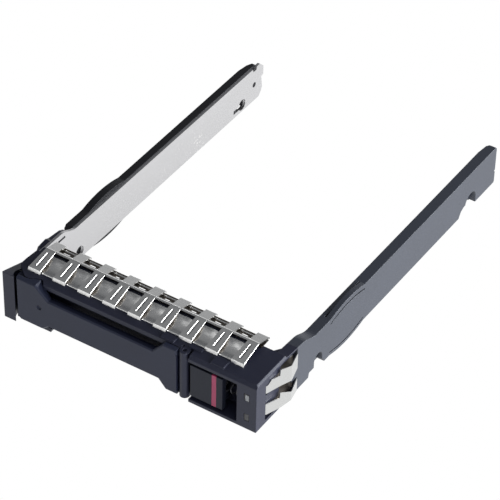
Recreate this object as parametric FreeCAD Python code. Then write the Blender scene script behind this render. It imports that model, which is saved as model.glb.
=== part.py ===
import FreeCAD, Part
import math
import os

# Hot swap drive caddy for a 2.5 inch drive, in millimetres.
# X runs from the left rail to the right rail, Y from the front face to the rear, Z up.
# Heights are counted from the bezel's underside, and the export then seats the caddy on its lower bow springs,
# with the origin under the middle of its box.

# Drive that the caddy carries
DRIVE_WIDTH = 69.85
DRIVE_PLAY = 0.15
SCREW_PITCH = 76.6
SCREW_HEIGHT = 3.0
SCREW_HOLE_R = 1.7
FRONT_SCREW_DEPTH = 28.3

# Overall
REAR_TAIL = 13.1
RAIL_THICKNESS = 3.0
RAIL_HEIGHT = 12.0
BEZEL_HEIGHT = 15.0
BEZEL_DEPTH = 13.4
CORNER_R = 1.1
LEFT_TOP = [
    (0.0, 0.1), (1.4, 0.5), (8.7, 2.9), (9.7, 2.7), (14.2, 3.1), (14.7, 2.3), (17.9, 1.9), (19.1, 2.5),
    (23.8, 3.1), (25.6, 4.0),
]
TOP_BEVEL = 0.9
SIDE_BEVEL = 0.5

# Walls and clearances
WALL = 1.4
FLOOR = 1.2
DECK = 1.4
SEAM = 0.3
SLIDE_GAP = 0.2
PIN_GAP = 0.05
FIT = 0.1

# Lever
LEVER_LEFT = -33.9
LEVER_RIGHT = 14.7
LEVER_FACE = 1.3
LEVER_BEVEL = 0.35
EYE_OFFSET = 4.75
EYE_HEIGHT = 8.3
EYE_R = 0.75
EYE_DEPTH = 0.3
LEVER_RIB = 1.1
LEVER_RIB_DEPTH = 2.9
LEVER_LOW = 1.4
LEVER_FOOT = 0.45
WAIST_LOW = 2.9
WAIST_HIGH = 11.5
WAIST_LEFT = -24.0
WAIST_RIGHT = 9.2
SHOULDER_LEFT = -28.0
SHOULDER_RIGHT = 10.8
LEVER_END_DEPTH = 5.2

# Hinge
PIN_R = 0.7
PIN_DEPTH = 3.4
PIN_INSET = 2.3
ARM = 1.8
BOSS_R = 1.35
SWING_ROOM = 42.0
LOBE_STEPS = 4
SHOULDER_PLAN = [(1.0, 1.5), (2.4, 2.3), (3.6, 2.7), (4.2, 2.5), (5.2, 1.3)]
HINGE_SPRING_WIRE = 0.3
HINGE_SPRING_TURNS = 4

# Button
BUTTON_LEFT = 18.65
BUTTON_WIDTH = 9.35
BUTTON_LOW = 2.1
BUTTON_HEIGHT = 10.0
BUTTON_INSET = 0.3
BUTTON_FACE = 1.6
BUTTON_TRAVEL = 3.5
POCKET_LEFT = 18.25
POCKET_WIDTH = 14.15
POCKET_LOW = 0.95
POCKET_HEIGHT = 12.25
POCKET_DEPTH = 5.6
TONGUE_HEIGHT = 2.6
TONGUE_DEPTH = 3.3
TONGUE_THICKNESS = 1.4
BUTTON_AXIS_HEIGHT = 7.4
STRIPE_WIDTH = 1.3
STRIPE_FROM_RIGHT = 3.1
STRIPE_THICKNESS = 0.5
STEM_HEIGHT = 2.2
KEEPER_THICKNESS = 1.2
KEEPER_HEIGHT = 5.6
SPRING_WIRE = 0.35
SPRING_R = 1.25
SPRING_TURNS = 5
SPRING_SEAT = 1.4
COIL_STEPS = 12
COIL_SIDES = 6

# Post beside the lever
POST_X = 16.3
POST_R = 1.35

# Pads on the deck
PAD_STARTS = (1.9, 2.9, 1.0)
PAD_WIDTH = 3.8
PAD_HEIGHT = 0.35

# Lamp windows and light pipes
PIPE_X = 35.2
PIPE_WIDTH = 1.3
PIPE_HEIGHT = 2.1
UPPER_LAMP = 10.25
LOWER_LAMP = 3.7
UPPER_RUN = 9.6
LOWER_RUN = 6.6
PIPE_REAR_GAP = 1.5

# Rails
RAIL_STEP = 14.0
RAIL_START = 18.3
STEP_END = 20.6
SLOPE_END = 27.4
SLOPE_STEPS = 8
RELIEF_HIGH = 1.4
BOW_START = 33.8
BOW_LENGTH = 16.2
BOW_STEPS = 12
BOW_RISE = 1.1
BOW_THICKNESS = 1.3
LOWER_BOW_THICKNESS = 0.7
BOW_SLOT = 0.5
BOW_WIDTH = 1.45
BOW_SLIT = 0.4
BOW_SLIT_DEPTH = 1.0
HEAD_R = 1.9
REAR_HEAD_R = 2.8
HEAD_DEPTH = 1.8
LEFT_RAIL_START = 26.0
LEFT_RAIL_TAIL = 8.5

# Left plate
PLATE = 0.8
PLATE_START = 7.4
PLATE_TAIL = 10.7
PLATE_LOW = 0.8
PLATE_HIGH = 11.8

# Spring fingers
SHEET = 0.25
FINGERS = 9
FINGER_PITCH = 7.61
FIRST_FINGER = -31.2
FINGER_WIDTH = 3.7
FINGER_TIP_TAPER = 0.35
CLIP_FRONT = 4.1
CREST_DEPTH = 11.9
CREST_HEIGHT = 1.95
CLIP_BACK = 15.6
RIB_WIDTH = 0.45
RIB_LENGTH = 5.2
SIDE_CREST_DEPTH = 13.8
SIDE_CREST_RISE = 1.3
SIDE_PLATE_START = 10.8
SIDE_POCKET = 1.2
SIDE_POCKET_START = 4.1

# Sizes that follow from those above
rear_screw_depth = FRONT_SCREW_DEPTH + SCREW_PITCH
length = rear_screw_depth + REAR_TAIL
left_rail_end = rear_screw_depth + LEFT_RAIL_TAIL
plate_end = rear_screw_depth + PLATE_TAIL
front = -length / 2
half_bay = (DRIVE_WIDTH + DRIVE_PLAY) / 2
half_width = half_bay + RAIL_THICKNESS
reach = half_width + SIDE_CREST_RISE
seat = FreeCAD.Vector(-SIDE_CREST_RISE / 2, 0, BOW_RISE)
pin_x = LEVER_LEFT + PIN_INSET
knuckle_r = math.hypot(PIN_INSET, PIN_DEPTH)
well_r = knuckle_r + SEAM
deck_under = BEZEL_HEIGHT - DECK
deck_front = LEVER_FACE + SEAM
arm_top = deck_under - SEAM
arm_low = LEVER_LOW + ARM
boss_top = arm_top - ARM - HINGE_SPRING_WIRE * (HINGE_SPRING_TURNS + 1) - 2 * SLIDE_GAP
bay_depth = LEVER_END_DEPTH + 2 * SEAM
bay_right = LEVER_RIGHT + SEAM + FIT
pocket_right = POCKET_LEFT + POCKET_WIDTH
pocket_high = POCKET_LOW + POCKET_HEIGHT
button_right = BUTTON_LEFT + BUTTON_WIDTH
button_high = BUTTON_LOW + BUTTON_HEIGHT
stripe_left = button_right - STRIPE_FROM_RIGHT
pipe_run_x = half_bay + FIT / 2 + PIPE_WIDTH / 2
pipe_end = length - PIPE_REAR_GAP
side_floor = half_width - SIDE_POCKET


# Helpers: depth is measured from the front face
def at(depth):
    return front + depth


def box(x0, x1, d0, d1, z0, z1):
    return Part.makeBox(x1 - x0, d1 - d0, z1 - z0, FreeCAD.Vector(x0, at(d0), z0))


def prism(points, push):
    wire = Part.makePolygon(points + [points[0]])
    return Part.Face(wire).extrude(push)


def front_prism(outline, d0, d1):
    points = [FreeCAD.Vector(x, at(d0), z) for x, z in outline]
    return prism(points, FreeCAD.Vector(0, d1 - d0, 0))


def side_prism(outline, x0, x1):
    points = [FreeCAD.Vector(x0, at(d), z) for d, z in outline]
    return prism(points, FreeCAD.Vector(x1 - x0, 0, 0))


def top_prism(outline, z0, z1):
    points = [FreeCAD.Vector(x, at(d), z0) for x, d in outline]
    return prism(points, FreeCAD.Vector(0, 0, z1 - z0))


def facet(points):
    return Part.Face(Part.makePolygon(points + [points[0]]))


def post(x, depth, radius, z0, z1):
    return Part.makeCylinder(radius, z1 - z0, FreeCAD.Vector(x, at(depth), z0))


def cross_hole(depth, z, radius, x0, x1):
    base = FreeCAD.Vector(x0, at(depth), z)
    return Part.makeCylinder(radius, x1 - x0, base, FreeCAD.Vector(1, 0, 0))


def joined(first, *others):
    shape = first
    for other in others:
        shape = shape.fuse(other)
    return shape.removeSplitter()


def less(shape, *tools):
    for tool in tools:
        shape = shape.cut(tool)
    return shape


def mirrored(shape):
    return shape.mirror(FreeCAD.Vector(0, 0, 0), FreeCAD.Vector(1, 0, 0))


# Smooth step from one height down to another, as points along half a wave
def slope(d0, d1, high, low):
    shares = [index / SLOPE_STEPS for index in range(SLOPE_STEPS + 1)]
    middle = (high + low) / 2
    swing = (high - low) / 2
    return [(d0 + share * (d1 - d0), middle + swing * math.cos(math.pi * share)) for share in shares]


# Wire coil with straight legs, as a skin of flat facets round a helix
def coil(radius, wire, length, turns, base, axis, legs=(0, 0)):
    steps = turns * COIL_STEPS
    stations = [(0, -legs[0], 0)] if legs[0] else []
    stations += [(index * 2 * math.pi / COIL_STEPS, 0, length * index / steps) for index in range(steps + 1)]
    if legs[1]:
        stations += [(0, legs[1], length)]
    turn = FreeCAD.Rotation(FreeCAD.Vector(0, 0, 1), axis)
    rings = []
    for angle, along, height in stations:
        out = FreeCAD.Vector(math.cos(angle), math.sin(angle), 0)
        middle = out * radius + FreeCAD.Vector(0, along, height)
        ring = []
        for index in range(COIL_SIDES):
            lean = index * 2 * math.pi / COIL_SIDES
            spoke = out * math.cos(lean) + FreeCAD.Vector(0, 0, math.sin(lean))
            ring.append(base + turn.multVec(middle + spoke * (wire / 2)))
        rings.append(ring)
    faces = [facet(rings[0][::-1]), facet(rings[-1])]
    for near, far in zip(rings, rings[1:]):
        for index in range(COIL_SIDES):
            after = (index + 1) % COIL_SIDES
            faces.append(facet([near[index], near[after], far[after]]))
            faces.append(facet([near[index], far[after], far[index]]))
    return Part.Solid(Part.Shell(faces))


# Outline of a sheet of even thickness that is folded along a path
def folded(path, thickness):
    one_side = []
    other_side = []
    last = len(path) - 1
    for index, (d, z) in enumerate(path):
        start = path[max(index - 1, 0)]
        end = path[min(index + 1, last)]
        into = FreeCAD.Vector(d - start[0], z - start[1], 0) if index > 0 else None
        away = FreeCAD.Vector(end[0] - d, end[1] - z, 0) if index < last else None
        into = (into or away).normalize()
        away = FreeCAD.Vector(end[0] - d, end[1] - z, 0).normalize() if index < last else into
        normal = FreeCAD.Vector(-into.y - away.y, into.x + away.x, 0)
        scale = thickness / 2 / (1 + into.dot(away))
        one_side.append((d + normal.x * scale, z + normal.y * scale))
        other_side.append((d - normal.x * scale, z - normal.y * scale))
    return one_side + other_side[::-1]


# Light pipes: a band seen from the side, crossed with the same band seen from above
def pipe_shape(lamp, run, gap):
    up = PIPE_HEIGHT / 2 + gap
    out = PIPE_WIDTH / 2 + gap
    bend = BEZEL_DEPTH + 1.0
    settle = FRONT_SCREW_DEPTH - 4.0
    high = [(-gap, lamp + up), (bend, lamp + up), (settle, run + up), (pipe_end + gap, run + up)]
    low = [(pipe_end + gap, run - up), (settle, run - up), (bend, lamp - up), (-gap, lamp - up)]
    outer = [(PIPE_X + out, -gap), (PIPE_X + out, bend), (pipe_run_x + out, settle)]
    outer += [(pipe_run_x + out, pipe_end + gap)]
    inner = [(pipe_run_x - out, pipe_end + gap), (pipe_run_x - out, settle)]
    inner += [(PIPE_X - out, bend), (PIPE_X - out, -gap)]
    side = side_prism(high + low, half_bay - RAIL_THICKNESS, half_width)
    return side.common(top_prism(outer + inner, 0, BEZEL_HEIGHT))


# Lever: a face plate with ribs behind it, an end wall, and two hinge arms
def lever_outline():
    return [
        (LEVER_LEFT + 1.0, LEVER_LOW), (WAIST_LEFT - 2.2, LEVER_LOW), (WAIST_LEFT - 0.2, WAIST_LOW),
        (WAIST_RIGHT, WAIST_LOW), (WAIST_RIGHT + 2.2, LEVER_FOOT), (LEVER_RIGHT, LEVER_FOOT),
        (LEVER_RIGHT, BEZEL_HEIGHT), (SHOULDER_RIGHT, BEZEL_HEIGHT), (WAIST_RIGHT - 1.6, WAIST_HIGH),
        (WAIST_LEFT, WAIST_HIGH), (SHOULDER_LEFT, BEZEL_HEIGHT), (LEVER_LEFT, BEZEL_HEIGHT),
        (LEVER_LEFT, LEVER_LOW + 1.0),
    ]


def make_lever():
    face = front_prism(lever_outline(), 0, LEVER_FACE)
    face = face.makeChamfer(LEVER_BEVEL, [edge for edge in face.Edges if edge.BoundBox.YMax < at(FIT)])
    solid = front_prism(lever_outline(), LEVER_FACE, LEVER_RIB_DEPTH)
    left = pin_x + knuckle_r
    right = LEVER_RIGHT - LEVER_RIB
    inside = front_prism([
        (left, WAIST_LOW + LEVER_RIB), (right, WAIST_LOW + LEVER_RIB), (right, BEZEL_HEIGHT),
        (SHOULDER_RIGHT + LEVER_RIB, BEZEL_HEIGHT), (WAIST_RIGHT, WAIST_HIGH - LEVER_RIB),
        (WAIST_LEFT - LEVER_RIB, WAIST_HIGH - LEVER_RIB), (SHOULDER_LEFT - LEVER_RIB, BEZEL_HEIGHT),
        (left, BEZEL_HEIGHT),
    ], LEVER_FACE, LEVER_RIB_DEPTH)
    keep = box(left, LEVER_RIGHT, LEVER_FACE, LEVER_RIB_DEPTH, FLOOR + SLIDE_GAP, arm_top)
    ribs = solid.cut(inside).common(keep)
    end_wall = box(right, LEVER_RIGHT, 0, LEVER_END_DEPTH, FLOOR + SLIDE_GAP, arm_top)
    notch_low = BUTTON_AXIS_HEIGHT - TONGUE_HEIGHT / 2 - SLIDE_GAP
    notch = box(right - FIT, LEVER_RIGHT + FIT, TONGUE_DEPTH - SLIDE_GAP,
                TONGUE_DEPTH + TONGUE_THICKNESS + SLIDE_GAP,
                notch_low, notch_low + TONGUE_HEIGHT + 2 * SLIDE_GAP)
    lever = joined(face, ribs, end_wall.cut(notch))
    ahead = box(LEVER_LEFT - 9, LEVER_RIGHT, -9, LEVER_FACE / 2, -1, BEZEL_HEIGHT + 1)
    for low, high in ((LEVER_LOW, arm_low), (arm_top - ARM, arm_top)):
        arm = post(pin_x, PIN_DEPTH, knuckle_r - SEAM, low, high).cut(ahead)
        lever = lever.fuse(arm)
    plan = [(pin_x, 0), (pin_x, LEVER_FACE)] + [(pin_x + x, d) for x, d in SHOULDER_PLAN] + [(SHOULDER_LEFT, 0)]
    within = front_prism(lever_outline(), LEVER_FACE / 2, PIN_DEPTH)
    lever = lever.fuse(top_prism(plan, arm_top, BEZEL_HEIGHT).common(within))
    bore = post(pin_x, PIN_DEPTH, PIN_R, LEVER_LOW - 1, arm_top + 1)
    lever = lever.cut(bore).removeSplitter()
    eye = FreeCAD.Vector(pin_x + EYE_OFFSET, front, EYE_HEIGHT)
    return lever.cut(Part.makeCylinder(EYE_R, EYE_DEPTH, eye, FreeCAD.Vector(0, 1, 0)))


def make_hinge_pin():
    return post(pin_x, PIN_DEPTH, PIN_R, LEVER_LOW, arm_top)


def make_lever_spring():
    low = boss_top + SLIDE_GAP + HINGE_SPRING_WIRE / 2
    length = HINGE_SPRING_TURNS * (HINGE_SPRING_WIRE + 0.05)
    radius = PIN_R + SLIDE_GAP + HINGE_SPRING_WIRE / 2
    base = FreeCAD.Vector(pin_x, at(PIN_DEPTH), low)
    legs = (PIN_DEPTH - LEVER_FACE - FIT, well_r - 2 * FIT - 0.3)
    return coil(radius, HINGE_SPRING_WIRE, length, HINGE_SPRING_TURNS, base, FreeCAD.Vector(0, 0, 1), legs)


# Bezel: the deck's rounded end over the hinge keeps clear of the lever's rear face at every angle
def deck_lobe():
    radius = PIN_DEPTH - deck_front
    turns = [math.radians(SWING_ROOM * index / LOBE_STEPS) for index in range(LOBE_STEPS + 1)]
    edge = [(pin_x - radius * math.sin(turn), PIN_DEPTH - radius * math.cos(turn)) for turn in turns]
    last = edge[-1]
    far = (last[0] - well_r * math.cos(turns[-1]), last[1] + well_r * math.sin(turns[-1]))
    behind = PIN_DEPTH + well_r
    plan = [*edge, far, (far[0], behind), (pin_x, behind)]
    near = box(pin_x - well_r, pin_x, 0, behind, 0, BEZEL_HEIGHT)
    return top_prism(plan, deck_under, BEZEL_HEIGHT).common(near)


def make_bezel():
    body = box(-half_width, half_width, 0, BEZEL_DEPTH, 0, BEZEL_HEIGHT)
    corner = [edge for edge in body.Edges if edge.BoundBox.XMin > half_width - FIT
              and edge.BoundBox.YMax < at(FIT) and edge.BoundBox.ZLength > BEZEL_HEIGHT / 2]
    body = body.makeFillet(CORNER_R, corner)
    left_top = [(-1, BEZEL_HEIGHT + 1), (-1, BEZEL_HEIGHT)] + [(d, BEZEL_HEIGHT - drop) for d, drop in LEFT_TOP]
    left_top += [(LEFT_RAIL_START, BEZEL_HEIGHT + 1)]
    wall_out = half_bay + PLATE
    left_wall = box(-half_width, -wall_out, BEZEL_DEPTH - 1, LEFT_RAIL_START - 2 * SEAM, 0.3, BEZEL_HEIGHT)
    right_top = [
        (0, 0), (0, BEZEL_HEIGHT), (10.3, BEZEL_HEIGHT), (14.5, 14.5), (RAIL_START, 14.2), (RAIL_START, 0),
    ]
    right_wall = side_prism(right_top, half_bay, half_width)
    gusset = top_prism([
        (half_bay - 1.8, BEZEL_DEPTH - 1), (half_bay + 0.5, BEZEL_DEPTH - 1),
        (half_bay + 0.5, BEZEL_DEPTH + 2.6), (half_bay, BEZEL_DEPTH + 2.6), (half_bay - 1.8, BEZEL_DEPTH),
    ], 0, 14.2)
    body = joined(body, left_wall, right_wall, gusset)
    body = body.cut(side_prism(left_top, -half_width - 1, -wall_out + 0.9))

    # Bay for the lever, open at the front, with a well round the hinge
    bay = box(pin_x, bay_right, -1, bay_depth, FLOOR, deck_under)
    face_gap = box(pin_x, bay_right, -1, deck_front, -1, BEZEL_HEIGHT + 1)
    waist_gap = front_prism([
        (WAIST_LEFT - 1, -1), (WAIST_RIGHT + 1, -1), (WAIST_RIGHT, FLOOR + 1), (WAIST_LEFT, FLOOR + 1),
    ], -1, LEVER_RIB_DEPTH + SEAM)
    well = post(pin_x, PIN_DEPTH, well_r, FLOOR, deck_under)
    quarter = post(pin_x, PIN_DEPTH, well_r, -1, BEZEL_HEIGHT + 1)
    quarter = quarter.common(box(pin_x - 9, pin_x, -9, PIN_DEPTH + 2 * SEAM, -1, BEZEL_HEIGHT + 1))
    plan = [(pin_x, -1), (pin_x, deck_front)] + [(pin_x + x, d + SEAM) for x, d in SHOULDER_PLAN]
    shoulder_gap = top_prism(plan + [(SHOULDER_LEFT, -1)], deck_under - 1, BEZEL_HEIGHT + 1)
    body = less(body, bay, face_gap, waist_gap, well, quarter, shoulder_gap)
    body = joined(body, deck_lobe())
    boss = post(pin_x, PIN_DEPTH, BOSS_R, arm_low + SLIDE_GAP, boss_top)
    web = box(pin_x - 0.6, pin_x + 0.6, PIN_DEPTH, PIN_DEPTH + well_r + 0.3, arm_low + SLIDE_GAP, boss_top)
    bore = post(pin_x, PIN_DEPTH, PIN_R + PIN_GAP, arm_low, boss_top + 0.1)
    body = joined(body, boss, web).cut(bore)

    # Rounded post between the lever and the button
    groove_end = POCKET_LEFT
    beside = box(bay_right - FIT, groove_end, -1, 2.9, -1, BEZEL_HEIGHT + 1)
    round_post = post(POST_X, 0.05 + POST_R, POST_R, 0.3, BEZEL_HEIGHT)
    stand = box(POST_X - 0.9, POST_X + 0.9, POST_R, 3.2, 0.3, BEZEL_HEIGHT)
    dimple = post(POST_X, 0.05 + POST_R, 0.55, BEZEL_HEIGHT - 0.5, BEZEL_HEIGHT + 1)
    body = joined(body.cut(beside), round_post, stand).cut(dimple)

    # Button pocket with the slot for its tongue and the slot for its stem
    pocket = box(POCKET_LEFT, pocket_right, -1, POCKET_DEPTH, POCKET_LOW, pocket_high)
    tongue_slot = box(bay_right - 1, POCKET_LEFT + 1, TONGUE_DEPTH - SLIDE_GAP,
                      TONGUE_DEPTH + TONGUE_THICKNESS + SLIDE_GAP,
                      BUTTON_AXIS_HEIGHT - TONGUE_HEIGHT / 2 - SLIDE_GAP,
                      BUTTON_AXIS_HEIGHT + TONGUE_HEIGHT / 2 + SLIDE_GAP)
    stem_slot = box(BUTTON_LEFT + 2 - SLIDE_GAP, button_right - 2 + BUTTON_TRAVEL + SLIDE_GAP,
                    POCKET_DEPTH - 1, POCKET_DEPTH + WALL + 1,
                    BUTTON_AXIS_HEIGHT - STEM_HEIGHT / 2 - SLIDE_GAP,
                    BUTTON_AXIS_HEIGHT + STEM_HEIGHT / 2 + SLIDE_GAP)
    body = less(body, pocket, tongue_slot, stem_slot)
    over = BEZEL_HEIGHT + 1
    top_edge = [(-1, BEZEL_HEIGHT - TOP_BEVEL), (0, BEZEL_HEIGHT - TOP_BEVEL), (TOP_BEVEL, BEZEL_HEIGHT)]
    top_bevel = side_prism(top_edge + [(TOP_BEVEL, over), (-1, over)], POCKET_LEFT - 1, half_width + 1)
    bevel_low = BEZEL_HEIGHT - SIDE_BEVEL
    side_edge = [(half_width, bevel_low), (half_width - SIDE_BEVEL, BEZEL_HEIGHT), (half_width - SIDE_BEVEL, over)]
    side_bevel = front_prism(side_edge + [(half_width + 1, over), (half_width + 1, bevel_low)], -1, RAIL_START)
    body = less(body, top_bevel, side_bevel)

    # Hollows behind the walls, open to the rear, with ribs between them
    rear = BEZEL_DEPTH + 1
    cell_start = pin_x + well_r + WALL
    cells = 4
    cell = (bay_right - cell_start) / cells
    for index in range(cells):
        x0 = cell_start + index * cell
        hollow = box(x0, x0 + cell - WALL, bay_depth + WALL, rear, FLOOR, deck_under)
        body = body.cut(hollow)
    keeper_room = box(POCKET_LEFT + 0.6, pocket_right - 0.6, POCKET_DEPTH + WALL, rear, FLOOR + 0.4, deck_under)
    body = body.cut(keeper_room)

    # Side pocket for the side fingers, with the block between them
    window = box(side_floor, half_width + 1, SIDE_POCKET_START, RAIL_START + 1, 0.9, BEZEL_HEIGHT - 1.2)
    block = box(side_floor - 1, half_width - SEAM, SIDE_POCKET_START + 0.5, 10.6, 4.2, 8.6)
    brow = box(side_floor - 1, half_width, SIDE_POCKET_START - 1, 10.6, BEZEL_HEIGHT - 2.7, BEZEL_HEIGHT - 1)
    body = joined(body.cut(window), block, brow)

    # Seats of the left plate, the light pipes and the right rail's tenon
    plate_slot = box(-wall_out, -half_bay, PLATE_START, rear, PLATE_LOW - FIT, BEZEL_HEIGHT - 0.8)
    lug = box(-wall_out - 0.5, -half_bay, 9.6, 11.6, 6.4, 8.4)
    upper = pipe_shape(UPPER_LAMP, UPPER_RUN, FIT)
    lower = pipe_shape(LOWER_LAMP, LOWER_RUN, FIT)
    ahead = box(PIPE_X - 2, PIPE_X + 2, -1, 0.2, 0, BEZEL_HEIGHT)
    lamp_holes = [ahead.common(box(PIPE_X - PIPE_WIDTH / 2 - FIT, PIPE_X + PIPE_WIDTH / 2 + FIT, -1, 1,
                                   lamp - PIPE_HEIGHT / 2 - FIT, lamp + PIPE_HEIGHT / 2 + FIT))
                  for lamp in (UPPER_LAMP, LOWER_LAMP)]
    mortise = box(half_bay + 0.2 - FIT, side_floor - 0.3 + FIT, 9, RAIL_START + 1, 6.2, 8.1)
    body = less(body, plate_slot, upper, lower, mortise, *lamp_holes)
    body = joined(body, lug)

    # Small pads on the deck between the front ends of the last fingers
    for index, start in enumerate(PAD_STARTS):
        x = FIRST_FINGER + (FINGERS - len(PAD_STARTS) + index - 0.5) * FINGER_PITCH
        pad = box(x - PAD_WIDTH / 2, x + PAD_WIDTH / 2, start, CLIP_FRONT - SEAM,
                  BEZEL_HEIGHT - FIT, BEZEL_HEIGHT + PAD_HEIGHT)
        body = joined(body, pad)
    return body


# Release button, its inlay, keeper and spring
def make_release_button():
    face = box(BUTTON_LEFT, button_right, BUTTON_INSET, BUTTON_INSET + BUTTON_FACE, BUTTON_LOW, button_high)
    back = POCKET_DEPTH - SLIDE_GAP
    core = box(BUTTON_LEFT, button_right - 0.6, BUTTON_INSET + BUTTON_FACE - 0.5, back,
               BUTTON_LOW + 1.2, button_high - 1.2)
    stem = box(BUTTON_LEFT + 2, button_right - 2, back - 1, POCKET_DEPTH + WALL + KEEPER_THICKNESS,
               BUTTON_AXIS_HEIGHT - STEM_HEIGHT / 2, BUTTON_AXIS_HEIGHT + STEM_HEIGHT / 2)
    tongue = box(bay_right - FIT / 2, BUTTON_LEFT + 1, TONGUE_DEPTH, TONGUE_DEPTH + TONGUE_THICKNESS,
                 BUTTON_AXIS_HEIGHT - TONGUE_HEIGHT / 2, BUTTON_AXIS_HEIGHT + TONGUE_HEIGHT / 2)
    inlay = box(stripe_left, stripe_left + STRIPE_WIDTH, 0, BUTTON_INSET + STRIPE_THICKNESS,
                BUTTON_LOW - 1, button_high + 1)
    seat = Part.makeCylinder(SPRING_R + SPRING_WIRE, SPRING_SEAT + 1,
                             FreeCAD.Vector(button_right - 0.6 - SPRING_SEAT, at(3.6), BUTTON_AXIS_HEIGHT),
                             FreeCAD.Vector(1, 0, 0))
    return less(joined(face, core, stem, tongue), inlay, seat)


def make_button_stripe():
    return box(stripe_left, stripe_left + STRIPE_WIDTH, BUTTON_INSET, BUTTON_INSET + STRIPE_THICKNESS,
               BUTTON_LOW, button_high)


def make_button_keeper():
    plate = box(BUTTON_LEFT + 1, button_right - 1, POCKET_DEPTH + WALL + SLIDE_GAP,
                POCKET_DEPTH + WALL + KEEPER_THICKNESS,
                BUTTON_AXIS_HEIGHT - KEEPER_HEIGHT / 2, BUTTON_AXIS_HEIGHT + KEEPER_HEIGHT / 2)
    hole = box(BUTTON_LEFT + 2, button_right - 2, POCKET_DEPTH + WALL - 1, POCKET_DEPTH + WALL + 3,
               BUTTON_AXIS_HEIGHT - STEM_HEIGHT / 2, BUTTON_AXIS_HEIGHT + STEM_HEIGHT / 2)
    return plate.cut(hole)


def make_button_spring():
    start = button_right - 0.6 - SPRING_SEAT + SPRING_WIRE / 2 + 0.02
    end = pocket_right - SPRING_WIRE / 2 - 0.02
    base = FreeCAD.Vector(start, at(3.6), BUTTON_AXIS_HEIGHT)
    return coil(SPRING_R, SPRING_WIRE, end - start, SPRING_TURNS, base, FreeCAD.Vector(1, 0, 0))


# Top fingers: a base strip with windows whose rear edge loops back, up over a crest and down to nine front lips
def make_top_emi_clip():
    base_z = BEZEL_HEIGHT
    crest_z = BEZEL_HEIGHT + CREST_HEIGHT - SHEET / 2
    left = FIRST_FINGER - FINGER_WIDTH / 2 - 0.2
    right = FIRST_FINGER + (FINGERS - 1) * FINGER_PITCH + FINGER_WIDTH / 2 + 0.6
    strip_end = BEZEL_DEPTH + 0.2
    clip = box(left, right, CLIP_FRONT + 0.8, strip_end, base_z, base_z + SHEET)
    for index in range(FINGERS - 1):
        x = FIRST_FINGER + (index + 0.5) * FINGER_PITCH
        clip = clip.cut(box(x - 1.95, x + 1.95, CREST_DEPTH - 1.4, CREST_DEPTH + 0.6, base_z - 1, base_z + 1))
    crest = [(CREST_DEPTH - 0.9, crest_z - 0.12), (CREST_DEPTH, crest_z), (CREST_DEPTH + 0.7, crest_z - 0.18)]
    clip = clip.fuse(side_prism(folded(crest, SHEET), left + 0.2, right - 0.6))
    shin = (CLIP_FRONT + 0.25, base_z + 0.62)
    path = [
        (strip_end - 0.4, base_z + SHEET / 2), (CLIP_BACK - 0.35, base_z + SHEET / 2),
        (CLIP_BACK - SHEET / 2, base_z + 0.33), (CLIP_BACK - 0.4, base_z + 0.6), *crest[::-1], shin,
        (CLIP_FRONT + 0.12, base_z + 0.15),
    ]
    slope = math.atan2(crest_z - 0.12 - shin[1], CREST_DEPTH - 0.9 - shin[0])
    for index in range(FINGERS):
        x = FIRST_FINGER + index * FINGER_PITCH
        half = FINGER_WIDTH / 2
        narrow = half - FINGER_TIP_TAPER
        plan = top_prism([
            (x - half, CLIP_FRONT - 1), (x + half, CLIP_FRONT - 1), (x + narrow, CREST_DEPTH),
            (x + narrow, CLIP_BACK + 1), (x - narrow, CLIP_BACK + 1), (x - narrow, CREST_DEPTH),
        ], base_z - 1, crest_z + 1)
        finger = side_prism(folded(path, SHEET), x - half, x + half).common(plan)
        rib = box(x - RIB_WIDTH / 2, x + RIB_WIDTH / 2, CLIP_FRONT + 1.5, CLIP_FRONT + 1.5 + RIB_LENGTH,
                  crest_z - 0.12, crest_z - 0.12 + SHEET / 2 + 0.12)
        rib.rotate(FreeCAD.Vector(x, at(CREST_DEPTH - 0.9), crest_z - 0.12), FreeCAD.Vector(1, 0, 0),
                   math.degrees(slope))
        clip = clip.fuse([finger, rib])
    return clip.removeSplitter()


# Side fingers: a base plate in the pocket, with two fingers folded out over it
def make_right_emi_clip():
    start = SIDE_POCKET_START + FIT
    end = RAIL_START - 0.4
    face = side_floor
    plate = box(face, face + SHEET, SIDE_PLATE_START, end, 1.2, BEZEL_HEIGHT - 1.6)
    upper_root = box(face, face + SHEET, start, SIDE_PLATE_START + 1, 10.2, 11.8)
    lower_root = box(face, face + SHEET, start, SIDE_PLATE_START + 1, 2.9, 3.9)
    plate = joined(plate, upper_root, lower_root)
    fold = [
        (face, start), (half_width + 0.1, start), (reach, SIDE_CREST_DEPTH), (half_width + 0.4, end),
        (half_width + 0.4 - SHEET, end), (reach - SHEET, SIDE_CREST_DEPTH),
        (half_width + 0.1 - SHEET, start + SHEET), (face, start + SHEET),
    ]
    band = top_prism(fold, 0, BEZEL_HEIGHT)
    upper = side_prism([
        (start - 1, 10.0), (start + 1.6, 9.7), (SIDE_CREST_DEPTH, 7.9), (end + 1, 8.6), (end + 1, 13.2),
        (SIDE_CREST_DEPTH, 12.3), (10.9, 12.3), (10.6, 11.4), (5.8, 12.1), (start - 1, 12.1),
    ], face - 1, reach + 1)
    lower = side_prism([
        (start - 1, 2.7), (start + 1.6, 2.4), (SIDE_CREST_DEPTH, 0.5), (end + 1, 0.6), (end + 1, 4.9),
        (SIDE_CREST_DEPTH, 4.5), (10.9, 5.1), (10.6, 4.0), (5.8, 5.1), (start - 1, 5.6),
    ], face - 1, reach + 1)
    return joined(plate, band.common(upper), band.common(lower))


# Bow springs: strips along a rail's upper and lower edges that arch away over a curved slot
def arch(x0, x1, edge, thickness):
    shares = [index / BOW_STEPS for index in range(BOW_STEPS + 1)]
    outer = [(BOW_START + share * BOW_LENGTH, edge + BOW_RISE * (1 - (2 * share - 1) ** 2)) for share in shares]
    inner = [(d, z - thickness) for d, z in outer[::-1]]
    return side_prism(outer + inner, x0, x1)


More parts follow.
